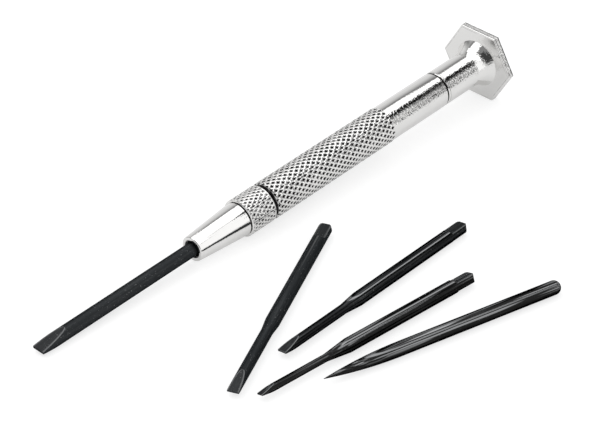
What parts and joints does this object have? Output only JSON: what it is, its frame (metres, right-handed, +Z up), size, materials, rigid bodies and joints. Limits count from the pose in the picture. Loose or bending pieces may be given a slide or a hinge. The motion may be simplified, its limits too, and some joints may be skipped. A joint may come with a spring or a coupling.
{
  "type": "watchmaker's screwdriver",
  "caption": "Slim precision screwdriver with a knurled barrel, a swivelling hexagonal cap, a screw-down chuck holding a flat blade, and loose spare blades and a scriber beside it.",
  "frame": {"origin": "under the middle of the whole set's footprint, on the surface it lies on", "axes": "+Z up from the bench; +X along the tool from the working edge to the cap, seen from above; the tool's axis rises 3.04 degrees towards the cap because it lies on its blade and on a flat of the hexagonal cap"},
  "size_m": [0.113, 0.059, 0.0139],
  "materials": {
    "bright_nickel": "bright nickel plate over polished brass, slightly mottled",
    "black_oxide_satin": "blackened hardened steel, satin",
    "black_oxide_gloss": "blackened hardened steel, polished and oiled",
    "black_oxide_rubbed": "blackened hardened steel, rubbed bright lengthwise",
    "bare_steel": "turned tool steel",
    "spring_bronze": "phosphor bronze strip"
  },
  "bodies": {
    "barrel": {"barrel": "bright_nickel", "drive_bush": "bare_steel", "thrust_washer": "spring_bronze", "pivot_screw": "bare_steel"},
    "collet": {"collet": "bare_steel"},
    "chuck_nut": {"chuck_nut": "bright_nickel"},
    "blade_100": {"blade_100": "black_oxide_satin"},
    "swivel_cap": {"swivel_cap": "bright_nickel"},
    "blade_080": {"blade_080": "black_oxide_satin"},
    "blade_070": {"blade_070": "black_oxide_gloss"},
    "blade_055": {"blade_055": "black_oxide_rubbed"},
    "scriber": {"scriber": "black_oxide_rubbed"}
  },
  "joints": [
    {"name": "cap_swivel", "type": "hinge", "parent": "barrel", "child": "swivel_cap", "pos_m": [0.04836, 0.02151, 0.00654], "axis": [0.9986, 0, 0.0531], "continuous": true},
    {"name": "collet_feed", "type": "slide", "parent": "barrel", "child": "collet", "axis": [-0.9986, 0, -0.0531], "range_m": [0, 0.0025]},
    {"name": "nut_turn", "type": "hinge", "parent": "collet", "child": "chuck_nut", "pos_m": [-0.01155, 0.02151, 0.00335], "axis": [-0.9986, 0, -0.0531], "range_deg": [0, 1800]},
    {"name": "blade_draw", "type": "slide", "parent": "barrel", "child": "blade_100", "axis": [-0.9986, 0, -0.0531], "range_m": [0, 0.0136]},
    {"name": "blade_080_lift", "type": "slide", "parent": "barrel", "child": "blade_080", "axis": [0, 0, 1], "range_m": [0, 0.03]},
    {"name": "blade_070_lift", "type": "slide", "parent": "barrel", "child": "blade_070", "axis": [0, 0, 1], "range_m": [0, 0.03]},
    {"name": "blade_055_lift", "type": "slide", "parent": "barrel", "child": "blade_055", "axis": [0, 0, 1], "range_m": [0, 0.03]},
    {"name": "scriber_lift", "type": "slide", "parent": "barrel", "child": "scriber", "axis": [0, 0, 1], "range_m": [0, 0.03]}
  ],
  "couplings": [
    {"joint": "nut_turn", "follows": "collet_feed", "rad_per_m": 12566}
  ]
}
